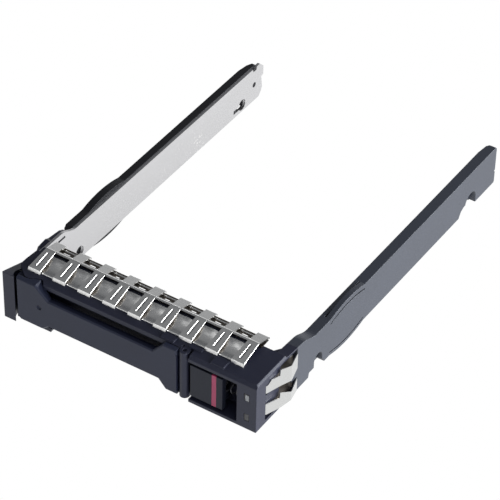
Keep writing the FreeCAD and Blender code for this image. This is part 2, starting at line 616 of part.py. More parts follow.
def flipped(shape):
    return shape.mirror(FreeCAD.Vector(0, 0, RAIL_HEIGHT / 2), FreeCAD.Vector(0, 0, 1))


def with_bows(rail, x0):
    for thickness, turned in ((BOW_THICKNESS, False), (LOWER_BOW_THICKNESS, True)):
        strip = arch(x0, half_width, RAIL_HEIGHT, thickness)
        slot = arch(x0 - 1, half_width + 1, RAIL_HEIGHT - thickness, BOW_SLOT)
        slot = slot.common(box(x0, half_width + 1, 0, length, 0, 2 * RAIL_HEIGHT))
        slit = box(x0 - BOW_SLIT, x0, BOW_START, BOW_START + BOW_LENGTH,
                   RAIL_HEIGHT - BOW_SLIT_DEPTH, RAIL_HEIGHT + BOW_RISE)
        shapes = [flipped(shape) if turned else shape for shape in (strip, slot, slit)]
        rail = joined(less(rail, shapes[1], shapes[2]), shapes[0])
    return rail


def head_recess(depth, radius, recess):
    outer = half_width + 1
    seat = half_width - recess
    hole = cross_hole(depth, SCREW_HEIGHT, SCREW_HOLE_R, half_bay - 1, outer)
    round_part = cross_hole(depth, SCREW_HEIGHT - 1.0 + (HEAD_R - radius) + 0.9, radius, seat, outer)
    foot = box(seat, outer, depth - radius, depth + radius, -1, SCREW_HEIGHT - 1.0 + (HEAD_R - radius) + 0.9)
    return hole.fuse(round_part).fuse(foot)


def make_right_rail():
    rear = length
    near = FRONT_SCREW_DEPTH
    far = rear_screw_depth
    profile = [
        (RAIL_START, 0), (near - 4.5, 0), (near - 4.1, RELIEF_HIGH), (near + 2.3, RELIEF_HIGH), (near + 3.0, 0),
        (far - 6.1, 0), (far - 5.1, 1.6), (far - 3.6, 2.4), (far + 2.0, 2.4), (far + 2.4, 0),
        (rear - 0.3, 0), (rear, 0.4), (rear, 3.6), (rear - 0.6, 3.9), (rear, 4.4), (rear, 11.4),
        (rear - 0.5, RAIL_HEIGHT),
    ]
    profile += slope(STEP_END, SLOPE_END, RAIL_STEP, RAIL_HEIGHT)[::-1] + [(RAIL_START, RAIL_STEP + 0.2)]
    rail = side_prism(profile, half_bay, half_width)
    web = box(half_bay, half_width - HEAD_DEPTH, near - 3.7, near + 2.9, 0.5, RAIL_HEIGHT / 2)
    rear_web = box(half_bay, half_width - HEAD_DEPTH, far - 6.9, far + 3.0, 0.5, RAIL_HEIGHT / 2)
    rail = with_bows(rail, half_width - BOW_WIDTH)
    tongue = box(side_floor + SHEET + FIT, half_width, 15.8, RAIL_START + 1, 4.5, 8.2)
    tenon = box(half_bay + 0.2, side_floor - 0.3, 9.1, RAIL_START + 1, 6.3, 8.0)
    rail = joined(rail, tongue, tenon, web, rear_web)
    taper = top_prism([
        (half_bay - 1, rear - 5.0), (half_bay, rear - 5.0), (half_bay + 0.4, rear - 1.4),
        (half_bay + 1.4, rear), (half_bay + 1.4, rear + 1), (half_bay - 1, rear + 1),
    ], -1, RAIL_HEIGHT + 1)
    upper = pipe_shape(UPPER_LAMP, UPPER_RUN, FIT)
    lower = pipe_shape(LOWER_LAMP, LOWER_RUN, FIT)
    return less(rail, taper, upper, lower, head_recess(FRONT_SCREW_DEPTH, HEAD_R, HEAD_DEPTH),
                head_recess(rear_screw_depth, REAR_HEAD_R, HEAD_DEPTH))


def make_left_rail():
    inner = half_bay + PLATE
    profile = [
        (LEFT_RAIL_START, 1.0), (LEFT_RAIL_START, RAIL_HEIGHT - 0.8), (LEFT_RAIL_START + 0.8, RAIL_HEIGHT),
        (left_rail_end - 1, RAIL_HEIGHT), (left_rail_end, RAIL_HEIGHT - 1), (left_rail_end, 1),
        (left_rail_end - 1, 0), (LEFT_RAIL_START + 1, 0),
    ]
    rail = with_bows(side_prism(profile, inner, half_width), inner)
    lead_out = top_prism([
        (half_width, left_rail_end - 6), (half_width - 0.5, left_rail_end - 2.6),
        (half_width - 1.7, left_rail_end), (half_width - 1.7, left_rail_end + 1),
        (half_width + 1, left_rail_end + 1), (half_width + 1, left_rail_end - 6),
    ], -1, RAIL_HEIGHT + 1)
    open_front = box(half_width - HEAD_DEPTH, half_width + 1, LEFT_RAIL_START - 1, FRONT_SCREW_DEPTH,
                     -1, SCREW_HEIGHT - FIT)
    rail = less(rail, lead_out, open_front, head_recess(FRONT_SCREW_DEPTH, HEAD_R, HEAD_DEPTH),
                head_recess(rear_screw_depth, REAR_HEAD_R, HEAD_DEPTH))
    stake = cross_hole(left_rail_end - 2.4, 6.2, 0.8, half_bay + 0.1, inner + 1)
    return mirrored(joined(rail, stake))


def make_left_plate():
    inner = half_bay
    outer = half_bay + PLATE
    profile = [
        (PLATE_START, PLATE_LOW), (PLATE_START, PLATE_HIGH), (BEZEL_DEPTH - 0.4, RAIL_STEP),
        *slope(STEP_END, SLOPE_END, RAIL_STEP, PLATE_HIGH), (plate_end - 5.4, PLATE_HIGH),
        (plate_end - 5.0, PLATE_HIGH - 1.0), (plate_end - 3.6, PLATE_HIGH - 1.0),
        (plate_end - 3.2, PLATE_HIGH), (plate_end - 1.8, PLATE_HIGH), (plate_end, PLATE_HIGH - 1.6),
        (plate_end, 7.3), (plate_end - 1.0, 7.0), (plate_end - 0.5, 3.3), (plate_end - 1.0, 2.2),
        (plate_end - 2.2, PLATE_LOW),
    ]
    plate = side_prism(profile, inner, outer)
    x0 = inner - 1
    x1 = outer + 1
    front_hole = cross_hole(FRONT_SCREW_DEPTH, SCREW_HEIGHT, SCREW_HOLE_R, x0, x1)
    rear_hole = cross_hole(rear_screw_depth, SCREW_HEIGHT, SCREW_HOLE_R, x0, x1)
    tail = box(x0, x1, rear_screw_depth - 4.2, rear_screw_depth, SCREW_HEIGHT - 0.9, SCREW_HEIGHT + 0.3)
    stake_hole = cross_hole(left_rail_end - 2.4, 6.2, 0.8, x0, x1)
    lug_hole = box(x0, x1, 9.5, 11.7, 6.3, 8.5)
    top_slot = box(x0, x1, 19.2, 22.4, 11.9, 12.6)
    return mirrored(less(plate, front_hole, rear_hole, tail, stake_hole, lug_hole, top_slot))


PIECES = {
    "bezel": make_bezel,
    "lever": make_lever,
    "hinge_pin": make_hinge_pin,
    "lever_spring": make_lever_spring,
    "release_button": make_release_button,
    "button_stripe": make_button_stripe,
    "button_keeper": make_button_keeper,
    "button_spring": make_button_spring,
    "top_emi_clip": make_top_emi_clip,
    "right_emi_clip": make_right_emi_clip,
    "right_rail": make_right_rail,
    "left_rail": make_left_rail,
    "left_plate": make_left_plate,
    "upper_light_pipe": lambda: pipe_shape(UPPER_LAMP, UPPER_RUN, 0),
    "lower_light_pipe": lambda: pipe_shape(LOWER_LAMP, LOWER_RUN, 0),
}

os.makedirs("parts", exist_ok=True)
for name, make in PIECES.items():
    shape = make()
    shape.translate(seat)
    shape.exportStep("parts/" + name + ".step")
    bounds = shape.BoundBox
    print(name, "solids", len(shape.Solids), "valid", shape.isValid(), "volume", round(shape.Volume, 1),
          "x", round(bounds.XMin, 2), round(bounds.XMax, 2), "y", round(bounds.YMin, 2), round(bounds.YMax, 2),
          "z", round(bounds.ZMin, 2), round(bounds.ZMax, 2))
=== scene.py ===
# %% [markdown]
# # A hot swap drive caddy
#
# The object is an open frame for one small server drive: a dark moulded bezel in front, a plastic rail on the
# right, a bright steel plate with a plastic slide on the left, and rows of sprung steel fingers that touch the
# neighbouring bays. The construction model already holds the true shapes, so it is loaded as a fixed frame, and
# this file gives it finishes, the thin sprung sheet and the wire that only a fine mesh shows well, and light.

# %% Load the frame
import bpy
import math
import numpy as np
from mathutils import Matrix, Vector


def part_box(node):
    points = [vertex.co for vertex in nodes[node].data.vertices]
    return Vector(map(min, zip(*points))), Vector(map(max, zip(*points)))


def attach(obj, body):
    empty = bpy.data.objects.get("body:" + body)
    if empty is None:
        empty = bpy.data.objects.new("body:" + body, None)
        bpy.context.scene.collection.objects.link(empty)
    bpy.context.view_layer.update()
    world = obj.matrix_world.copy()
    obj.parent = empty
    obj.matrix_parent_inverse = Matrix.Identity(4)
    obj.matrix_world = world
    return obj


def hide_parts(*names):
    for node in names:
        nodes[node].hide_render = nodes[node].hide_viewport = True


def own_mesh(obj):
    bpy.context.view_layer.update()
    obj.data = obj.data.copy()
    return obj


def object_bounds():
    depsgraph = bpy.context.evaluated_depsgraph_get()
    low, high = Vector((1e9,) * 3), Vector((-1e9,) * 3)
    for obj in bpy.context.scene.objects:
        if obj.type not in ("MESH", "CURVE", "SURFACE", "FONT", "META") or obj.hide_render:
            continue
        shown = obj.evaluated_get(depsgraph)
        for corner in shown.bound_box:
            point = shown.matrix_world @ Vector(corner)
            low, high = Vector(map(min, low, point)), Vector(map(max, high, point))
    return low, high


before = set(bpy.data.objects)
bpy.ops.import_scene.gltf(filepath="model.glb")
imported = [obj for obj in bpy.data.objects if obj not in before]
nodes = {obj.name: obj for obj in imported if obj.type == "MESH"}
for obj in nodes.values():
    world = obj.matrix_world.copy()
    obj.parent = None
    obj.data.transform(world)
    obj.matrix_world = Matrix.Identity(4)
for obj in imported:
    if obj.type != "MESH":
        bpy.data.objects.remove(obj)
cad_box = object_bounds()
MM = 0.001
print("nodes", sorted(nodes))
print("size in mm", [round((high - low) / MM, 1) for low, high in zip(*cad_box)])

# %% [markdown]
# ## Reading places from the frame
#
# Every new piece has to sit where the real one does. Its place could be typed or fitted by eye, but a node's box
# says it exactly. The bezel's box gives the front face and the underside, from which depths and heights are
# counted here, and the box of the top clip gives the deck that carries the fingers.

# %% Main places of the caddy
bezel_low, bezel_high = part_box("bezel")
clip_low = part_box("top_emi_clip")[0]
front = bezel_low[1]
front_mm = front / MM
under_mm = bezel_low[2] / MM
deck_mm = clip_low[2] / MM
print("front", round(front_mm, 2), "underside", round(under_mm, 2), "deck", round(deck_mm, 2))

# %% [markdown]
# ## Finishes as small networks
#
# A material in Blender is a network: nodes work out numbers and colours, and links carry them to the sockets of
# the surface shader. It could be wired by hand in the Shader Editor. Here it is written down, so that each finish
# of the caddy is one line of numbers, and three helpers keep the wiring short.


# %% Helpers for the networks
def fill_sockets(tree, node, inputs):
    """Each entry of inputs names a socket by its name or number. An output of another node is linked to the
    socket, and anything else becomes the socket's own value."""
    for name, value in inputs.items():
        if isinstance(value, bpy.types.NodeSocket):
            tree.links.new(value, node.inputs[name])
        else:
            node.inputs[name].default_value = value


def add_node(tree, kind, inputs, **settings):
    """A new node of that kind. Its settings, such as a Math node's operation, come before its sockets."""
    node = tree.nodes.new(kind)
    for name, value in settings.items():
        setattr(node, name, value)
    fill_sockets(tree, node, inputs)
    return node


def new_finish(name):
    """A material of that name, its network and its surface shader."""
    material = bpy.data.materials.new(name)
    material.use_nodes = True
    tree = material.node_tree
    return material, tree, tree.nodes["Principled BSDF"]


print("helpers", fill_sockets.__name__, add_node.__name__, new_finish.__name__)

# %% [markdown]
# ## Moulded plastic
#
# The bezel, the lever, the button and the rails are glass-filled plastic, nearly black with a little blue. The
# mould was spark eroded, which leaves a grain far finer than a millimetre. It could be painted as an image, but a
# noise on Object coordinates needs no unwrapping and keeps its size on every piece. The base colour stays very
# dark: most of what the eye sees on such plastic is the soft reflection of its surroundings, which takes a few
# hundredths of the light even head-on. A Bevel node rounds the sharp edges of the construction model in the
# shading, as a mould rounds them in fact.


# %% A finish for all moulded plastics
PLASTIC_IOR = 1.44
BLUISH = (0.88, 0.92, 1.0, 1)
PLASTIC_EDGE_MM = 0.22
PATCHES_PER_M = 90.0


def moulded_plastic(name, colour, roughness, grain_mm, relief, gloss=0.42):
    """A noise with grains of grain_mm moves the roughness from 0.06 under its value to 0.08 over it, and lifts the
    surface by relief hundredths of a millimetre. A broad second noise mixes the colour with 1.35 times itself.
    gloss is the strength of the mirrored light, where 0.5 is what the index alone gives. That light is tinted a
    little blue."""
    material, tree, shader = new_finish(name)
    place = add_node(tree, "ShaderNodeTexCoord", {}).outputs["Object"]
    fine = add_node(tree, "ShaderNodeTexNoise", {"Vector": place, "Scale": 1 / (grain_mm * MM), "Detail": 3.0})
    broad = add_node(tree, "ShaderNodeTexNoise", {"Vector": place, "Scale": PATCHES_PER_M, "Detail": 2.0})
    spread = add_node(tree, "ShaderNodeMapRange", {
        "Value": fine.outputs["Fac"], "To Min": roughness - 0.06, "To Max": roughness + 0.08})
    tint = add_node(tree, "ShaderNodeMix", {
        "Factor": broad.outputs["Fac"], "A": (*colour, 1), "B": (*[1.35 * c for c in colour], 1),
    }, data_type="RGBA")
    round_off = add_node(tree, "ShaderNodeBevel", {"Radius": PLASTIC_EDGE_MM * MM}, samples=6)
    bump = add_node(tree, "ShaderNodeBump", {
        "Strength": 0.5, "Distance": relief * 0.01 * MM,
        "Height": fine.outputs["Fac"], "Normal": round_off.outputs["Normal"]})
    fill_sockets(tree, shader, {
        "IOR": PLASTIC_IOR, "Specular IOR Level": gloss, "Specular Tint": BLUISH,
        "Roughness": spread.outputs["Result"], "Base Color": tint.outputs["Result"],
        "Normal": bump.outputs["Normal"]})
    return material


head_on = ((PLASTIC_IOR - 1) / (PLASTIC_IOR + 1)) ** 2
print("plastic of index", PLASTIC_IOR, "mirrors", round(100 * head_on, 1), "% of the light that meets it head-on")

# %% The five plastics of the caddy
bezel_plastic = moulded_plastic("bezel_plastic", (0.009, 0.010, 0.020), 0.42, 0.25, 1.6)
lever_plastic = moulded_plastic("lever_plastic", (0.008, 0.010, 0.022), 0.42, 0.25, 1.6)
rail_plastic = moulded_plastic("rail_plastic", (0.013, 0.016, 0.024), 0.42, 0.3, 1.5, 0.95)
slide_plastic = moulded_plastic("slide_plastic", (0.004, 0.004, 0.005), 0.50, 0.4, 1.0, 0.3)
button_plastic = moulded_plastic("button_plastic", (0.006, 0.007, 0.012), 0.36, 0.3, 1.0, 0.28)
plastics = (bezel_plastic, lever_plastic, rail_plastic, slide_plastic, button_plastic)
print("plastics", [material.name for material in plastics])

# %% [markdown]
# ## Rolled steel, wire and rod
#
# The left plate is zinc-plated sheet with a fine rolled grain along its length. The fingers are bright spring
# steel, and the springs and the hinge pin are wire and rod. A dark brown copy of the spring steel paints the shade
# in the folds and on the plates behind the fingers. All are full metals: their colour is the tint of what they
# mirror. The grain could be an image of scratches, but a noise that a Mapping node stretches along one axis needs
# no unwrapping. It only moves the roughness, so that sheet still looks flat from a step away. The ground pin alone
# gets a trace of relief.


# %% A finish for sheet, wire and rod
STEEL_EDGE_MM = 0.05


def rolled_steel(name, colour, roughness, stretch, swing=0.03, relief=0.0):
    """Metal whose roughness a noise moves by swing either way. stretch holds the noise's scale along X, Y and Z
    per metre: a small number along an axis draws the grain out along it. Where relief is above zero, the noise also
    lifts the surface by that many hundredths of a millimetre, and the edges are softened."""
    material, tree, shader = new_finish(name)
    place = add_node(tree, "ShaderNodeTexCoord", {}).outputs["Object"]
    pull = add_node(tree, "ShaderNodeMapping", {"Vector": place, "Scale": stretch})
    grain = add_node(tree, "ShaderNodeTexNoise", {"Vector": pull.outputs["Vector"], "Scale": 1.0, "Detail": 4.0})
    spread = add_node(tree, "ShaderNodeMapRange", {
        "Value": grain.outputs["Fac"], "To Min": roughness - swing, "To Max": roughness + swing})
    fill_sockets(tree, shader, {
        "Base Color": (*colour, 1), "Metallic": 1.0, "Roughness": spread.outputs["Result"]})
    if relief:
        round_off = add_node(tree, "ShaderNodeBevel", {"Radius": STEEL_EDGE_MM * MM}, samples=4)
        bump = add_node(tree, "ShaderNodeBump", {
            "Strength": 0.4, "Distance": relief * 0.01 * MM,
            "Height": grain.outputs["Fac"], "Normal": round_off.outputs["Normal"]})
        fill_sockets(tree, shader, {"Normal": bump.outputs["Normal"]})
    return material


print("steel with relief has its edges softened by", STEEL_EDGE_MM, "mm")

# %% The six steels of the caddy
PLATE_GREY = (0.57, 0.57, 0.58)
plate_steel = rolled_steel("plate_steel", PLATE_GREY, 0.34, (1200.0, 60.0, 1200.0))
finger_steel = rolled_steel("finger_steel", (0.76, 0.76, 0.75), 0.24, (200.0, 700.0, 700.0))
side_steel = rolled_steel("side_steel", (0.61, 0.615, 0.61), 0.24, (200.0, 700.0, 700.0))
# painted shade: this dark brown copy of the spring steel stands for the shade in folds and behind the fingers
painted_shade_steel = rolled_steel("painted_shade_steel", (0.16, 0.14, 0.12), 0.35, (700.0, 700.0, 700.0))
spring_steel = rolled_steel("spring_steel", (0.10, 0.10, 0.11), 0.45, (3000.0, 3000.0, 3000.0))
pin_steel = rolled_steel("pin_steel", (0.6, 0.6, 0.61), 0.25, (3000.0, 3000.0, 200.0), 0.09, 0.6)
steels = (plate_steel, finger_steel, side_steel, painted_shade_steel, spring_steel, pin_steel)
print("steels", [material.name for material in steels])

# %% [markdown]
# ## Scuffs on the plate
#
# Drives and their screws scrape along the plate and leave small bright flecks. They could be painted by hand, but
# flecks have no order, so noise draws them as well: a fine one makes a fleck wherever it is high, and a broad one
# lets the flecks through in a few patches only. The two ends of each Map Range set how many there are.


# %% Flecks in patches
FLECKS = (1300.0, 0.60, 0.68)
PATCHES = (35.0, 0.50, 0.60)


def scuffed(material, colour, scuff):
    """The base colour goes from colour to scuff with the product of two shares. Each share is a noise of a given
    scale, stretched so that its lower limit becomes 0 and its upper limit 1."""
    tree = material.node_tree
    place = add_node(tree, "ShaderNodeTexCoord", {}).outputs["Object"]
    shares = {}
    for number, (scale, lower, upper) in enumerate((FLECKS, PATCHES)):
        noise = add_node(tree, "ShaderNodeTexNoise", {"Vector": place, "Scale": scale})
        step = add_node(tree, "ShaderNodeMapRange", {
            "Value": noise.outputs["Fac"], "From Min": lower, "From Max": upper})
        shares[number] = step.outputs["Result"]
    both = add_node(tree, "ShaderNodeMath", shares, operation="MULTIPLY")
    tint = add_node(tree, "ShaderNodeMix", {
        "Factor": both.outputs["Value"], "A": (*colour, 1), "B": (*scuff, 1)}, data_type="RGBA")
    fill_sockets(tree, tree.nodes["Principled BSDF"], {"Base Color": tint.outputs["Result"]})


scuffed(plate_steel, PLATE_GREY, (0.80, 0.80, 0.79))
print("plate finish has", len(plate_steel.node_tree.nodes), "nodes")

# %% [markdown]
# ## The burgundy inlay
#
# The inlay of the button is one strip of smooth coloured plastic. Its grain is too fine to see at this size, so
# noise would cost time and show nothing: a single colour, a fairly low roughness and no more are enough.


# %% A smooth plastic of one colour
def plain_gloss(name, colour, roughness, transmission=0.0):
    """A smooth dielectric of one colour. transmission is the share of the light that passes through it."""
    material, tree, shader = new_finish(name)
    fill_sockets(tree, shader, {
        "Base Color": (*colour, 1), "Roughness": roughness, "Transmission Weight": transmission})
    return material


stripe_plastic = plain_gloss("stripe_plastic", (0.23, 0.018, 0.065), 0.35)
print("inlay", stripe_plastic.name)

# %% [markdown]
# ## Two lamp windows
#
# The light pipes are acrylic rods. From outside only their ends show, as grey windows with a dark rim where the
# bezel's edge shades them. The rim could be a frame of its own, but no such piece is there, so that shade is
# painted: the finish darkens the end near the edge of the rod's box. The upper window is given a lighter grey.


# %% A window with a rim of painted shade
RIM_MM = 0.3
# painted shade for the rim where the bezel's edge shades the window
PAINTED_RIM_SHADE = (0.004, 0.004, 0.005, 1)


def window_with_painted_rim_shade(name, colour, node):
    """The share of colour is the product of two steps, one along X and one along Z. A step is 1 where the distance
    from the box's middle is under half its size less the rim, and 0 in the rim, which is painted shade."""
    material = plain_gloss(name, colour, 0.3, 0.1)
    tree = material.node_tree
    low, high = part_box(node)
    place = add_node(tree, "ShaderNodeTexCoord", {}).outputs["Object"]
    split = add_node(tree, "ShaderNodeSeparateXYZ", {"Vector": place})
    shares = {}
    for number, axis in enumerate((0, 2)):
        middle = 0.5 * (low[axis] + high[axis])
        reach = 0.5 * (high[axis] - low[axis]) - RIM_MM * MM
        step = add_node(tree, "ShaderNodeMath", {0: split.outputs["XYZ"[axis]], 1: middle, 2: reach},
                        operation="COMPARE")
        shares[number] = step.outputs["Value"]
    inside = add_node(tree, "ShaderNodeMath", shares, operation="MULTIPLY")
    tint = add_node(tree, "ShaderNodeMix", {
        "Factor": inside.outputs["Value"], "A": PAINTED_RIM_SHADE, "B": (*colour, 1)}, data_type="RGBA")
    fill_sockets(tree, tree.nodes["Principled BSDF"], {"Base Color": tint.outputs["Result"]})
    print(name, "box in mm", [round((b - a) / MM, 2) for a, b in zip(low, high)])
    return material


upper_window = window_with_painted_rim_shade("upper_window", (0.20, 0.21, 0.22), "upper_light_pipe")
lower_window = window_with_painted_rim_shade("lower_window", (0.035, 0.036, 0.040), "lower_light_pipe")

# %% [markdown]
# ## Giving each node its finish
#
# The loaded nodes carry plain materials. They could be chosen by hand one at a time, but a table from a node's
# name to its finish is easy to read through and to check: it has to name every node.

# %% Finishes by node
finishes = {
    "bezel": bezel_plastic,
    "lever": lever_plastic,
    "right_rail": rail_plastic,
    "left_rail": slide_plastic,
    "release_button": button_plastic,
    "button_keeper": button_plastic,
    "button_stripe": stripe_plastic,
    "left_plate": plate_steel,
    "top_emi_clip": finger_steel,
    "right_emi_clip": finger_steel,
    "button_spring": spring_steel,
    "lever_spring": spring_steel,
    "hinge_pin": pin_steel,
    "upper_light_pipe": upper_window,
    "lower_light_pipe": lower_window,
}
for name, material in finishes.items():
    mesh = nodes[name].data
    mesh.materials.clear()
    mesh.materials.append(material)
print("finished", len(finishes), "of", len(nodes))

# %% [markdown]
# ## Folded profiles
#
# The construction model draws the spring sheet as straight folds, while real sheet bends round a small radius. An
# arc could be worked out for each fold. A running mean along the folded line is simpler: it leaves the straight
# runs straight and rounds every bend by the same rule.


# %% A profile with rounded bends
def rounded_path(corners, step, width):
    """Points at even steps along the line through corners, each averaged over a window of that width, which rounds
    a bend to about that size. Beyond both ends the line goes on as its own reflection, so the ends keep their
    place."""
    corners = np.array(corners, float)
    legs = np.hypot(*np.diff(corners, axis=0).T)
    along = np.concatenate([[0.0], np.cumsum(legs)])
    places = np.linspace(0.0, along[-1], int(along[-1] / step) + 1)
    line = np.stack([np.interp(places, along, corners[:, k]) for k in (0, 1)], axis=1)
    half = max(1, int(width / step / 2))
    before = 2 * line[0] - line[half:0:-1]
    after = 2 * line[-1] - line[-2:-half - 2:-1]
    padded = np.concatenate([before, line, after])
    kernel = np.ones(2 * half + 1) / (2 * half + 1)
    return np.stack([np.convolve(padded[:, k], kernel, mode="valid") for k in (0, 1)], axis=1)


corner = rounded_path([(0, 0), (1, 0), (1, 1)], 0.05, 0.4)
print("a right angle is cut by", round(float(np.hypot(*(corner - [1, 0]).T).min()), 3))

# %% [markdown]
# ## Thin sheet
#
# Real sheet has two skins and a cut edge, and a slot in it shows that thickness. A Solidify modifier could give
# it, but here the skins and edges are worked out at once: the grid is the upper skin, a copy of it one thickness
# below is the lower one, and every free edge of the kept cells gets a wall. So each sheet is a closed solid, and
# a slot is just a group of cells that isn't kept.


# %% A closed sheet from a grid
def pressed_sheet(top, thickness, keep=None):
    """top is a grid of points, rows by columns by three, and keep says for each of its cells whether it is there,
    all of them if left out. The lower skin is the upper one less the thickness times the unit normal, which is the
    cross product of the steps along the columns and along the rows. Returns points and quads."""
    rows, columns = top.shape[:2]
    if keep is None:
        keep = np.ones((rows - 1, columns - 1), bool)
    normal = np.cross(np.gradient(top, axis=1), np.gradient(top, axis=0))
    normal /= np.linalg.norm(normal, axis=2, keepdims=True)
    points = np.concatenate([top.reshape(-1, 3), (top - thickness * normal).reshape(-1, 3)])
    under = rows * columns
    number = np.arange(under).reshape(rows, columns)
    cell = np.stack([number[:-1, :-1], number[:-1, 1:], number[1:, 1:], number[1:, :-1]], axis=2)
    quads = [cell[keep], cell[keep][:, ::-1] + under]
    fenced = np.pad(keep, 1)
    for first, last, inside, outside in (
        (number[:, 1:], number[:, :-1], fenced[1:, 1:-1], fenced[:-1, 1:-1]),
        (number[:, :-1], number[:, 1:], fenced[:-1, 1:-1], fenced[1:, 1:-1]),
        (number[:-1, :], number[1:, :], fenced[1:-1, 1:], fenced[1:-1, :-1]),
        (number[1:, :], number[:-1, :], fenced[1:-1, :-1], fenced[1:-1, 1:]),
    ):
        edge = inside & ~outside
        a, b = first[edge], last[edge]
        quads.append(np.stack([a, b, b + under, a + under], axis=1))
    quads = np.concatenate(quads)
    used, numbers = np.unique(quads, return_inverse=True)
    return points[used], numbers.reshape(-1, 4)


square = np.stack([*np.meshgrid([0.0, 1.0, 2.0], [0.0, 1.0, 2.0]), np.zeros((3, 3))], axis=2)
print("a square of four cells has", [len(part) for part in pressed_sheet(square, 0.1)], "points and quads")

# %% [markdown]
# ## One object from many sheets
#
# The real strip is one piece of metal, so its sheets belong in one mesh. They could be made as objects and joined,
# but it is quicker to shift each sheet's point numbers past those before it and hand Blender one list. Faces are
# shaded smooth, with sharp edges wherever the surface turns by more than a given angle.


# %% Several sheets in one mesh
# material numbers: the second is the dark copy of the steel, which paints shade
BRIGHT, PAINTED_SHADE = 0, 1


def piece_from(name, sheets, materials, sharp_degrees=35.0):
    """sheets lists (points in millimetres, quads, number of the material). A sheet's quads are raised by the count
    of all points before it."""
    points, quads, numbers = zip(*sheets)
    starts = np.cumsum([0] + [len(part) for part in points[:-1]])
    raised = np.concatenate([part + start for part, start in zip(quads, starts)])
    which = np.concatenate([np.full(len(part), number) for part, number in zip(quads, numbers)])
    mesh = bpy.data.meshes.new(name)
    mesh.from_pydata((np.concatenate(points) * MM).tolist(), [], raised.tolist())
    for material in materials:
        mesh.materials.append(material)
    mesh.polygons.foreach_set("material_index", which.astype(np.int32))
    mesh.polygons.foreach_set("use_smooth", np.ones(len(raised), bool))
    mesh.set_sharp_from_angle(angle=math.radians(sharp_degrees))
    mesh.update()
    piece = bpy.data.objects.new(name, mesh)
    bpy.context.collection.objects.link(piece)
    print(name, len(mesh.vertices), "points", len(mesh.polygons), "faces")
    return piece


# %% [markdown]
# ## Where the top fingers stand
#
# Nine fingers are cut and folded from one strip on the deck. Their places could be read one by one, but they stand
# at an even pitch, so the left end of the clip's box and the pitch give them all. Depths are counted back from the
# bezel's face and heights up from the deck, because the real strip is folded to those two faces.

# %% Places and grids over the deck
FINGERS = 9
PITCH = 7.61
SHEET = 0.22
FIRST_MIDDLE = 2.05
clip_front = (clip_low[1] - front) / MM
finger_x = clip_low[0] / MM + FIRST_MIDDLE + PITCH * np.arange(FINGERS)
gap_x = finger_x[:-1] + PITCH / 2


def deck_grid(x, depth, height):
    """Points from grids of x and of the height over the deck, with one depth behind the bezel's face a row."""
    y = np.repeat(depth[:, None], x.shape[1], axis=1) + front_mm
    return np.stack([x, y, height + deck_mm], axis=2)


print("finger middles in mm", finger_x.round(2).tolist())

# %% [markdown]
# ## One finger
#
# A finger rises from a rolled nose to a crest and falls behind it as a tab, and a narrow slot runs along its
# slope. It could be bent from a flat plane by hand. As a profile carried across a row of columns it is one grid,
# and the slot is a strip of cells left out. A stamped edge is drawn down a little and mirrors a bright line, so
# the right edge and both lips of the slot lie about a tenth of a millimetre lower.

# %% Profile and columns of a finger
CREST = (11.6, 2.12)
NOSE_TOP = (clip_front + 0.36, 0.86)
BELOW_CREST = (10.9, 2.03)
FINGER_PATH = [
    (clip_front + 0.01, 0.02), NOSE_TOP, BELOW_CREST, CREST, (11.9, 1.9), (15.85, 1.0), (16.1, 0.8), (16.15, 0.45),
]
SLOT_START, SLOT_END, SLOT_FADE = 5.7, 10.2, 0.3
SLOT_LEFT, SLOT_RIGHT = -0.16, 0.0
COLUMNS = np.array([-1.0, -0.7, -0.34, -0.28, -0.22, -0.155, -0.06, 0.05, 0.2, 0.5, 0.966, 1.0])
DROPS = np.array([0.0, 0.0, 0.0, -0.01, -0.02, 0.13, 0.12, 0.0, 0.0, 0.0, 0.0, 0.09])
print("columns", len(COLUMNS), "of which lowered", int((DROPS > 0).sum()))


# %% Fingers with noses, slots and tabs
def finger_half(depth):
    """Half the width in millimetres: straight lines between 1.92 at the nose, 1.5 at the crest and 1.6 behind."""
    return np.interp(depth, [4.3, 5.0, CREST[0], 13.0, 15.9], [1.92, 1.8, 1.5, 1.55, 1.6])


def finger_sheet(middle):
    """x is the middle plus the column times half the width. The height is the profile's less the drop, which
    fades in over 0.3 mm before the slot and out behind it, and at the right edge fades out before the crest."""
    line = rounded_path(FINGER_PATH, 0.09, 0.2)
    depth = line[:, 0]
    x = middle + COLUMNS * finger_half(depth)[:, None]
    ends = np.minimum(depth - SLOT_START + SLOT_FADE, SLOT_END + SLOT_FADE - depth)
    in_slot = np.clip(ends / SLOT_FADE, 0, 1)
    sloping = np.clip((CREST[0] - depth) / 0.5, 0, 1)
    drop = DROPS * np.where(COLUMNS > 0.9, sloping[:, None], in_slot[:, None])
    keep = np.ones((len(depth) - 1, len(COLUMNS) - 1), bool)
    rows = (depth[:-1] > SLOT_START) & (depth[1:] < SLOT_END)
    columns = (COLUMNS[:-1] > SLOT_LEFT) & (COLUMNS[1:] < SLOT_RIGHT)
    keep[np.ix_(rows, columns)] = False
    return (*pressed_sheet(deck_grid(x, depth, line[:, 1][:, None] - drop), SHEET, keep), BRIGHT)


fingers = [finger_sheet(middle) for middle in finger_x]
print("faces of a finger", len(fingers[0][1]))

# %% [markdown]
# ## Dished webs
#
# Between two fingers a web rises from the front band and ends before the crest, which leaves a dark window. It is
# pressed, so light moves over it unevenly. A flat strip would look like paper, and sculpting would be slow. A
# height that depends on two parameters, the share of the way back and the place across, gives the dish at once.

# %% Webs between the fingers
WEB_STEPS = 28
WEB_START, WEB_END = 5.6, 9.95
WEB_COLUMNS = np.linspace(-1, 1, 19)
WEB_RISE, WEB_POWER = 1.66, 2.5
WEB_LAP, WEB_FOOT, WEB_DISH = 0.04, 0.2, 0.09


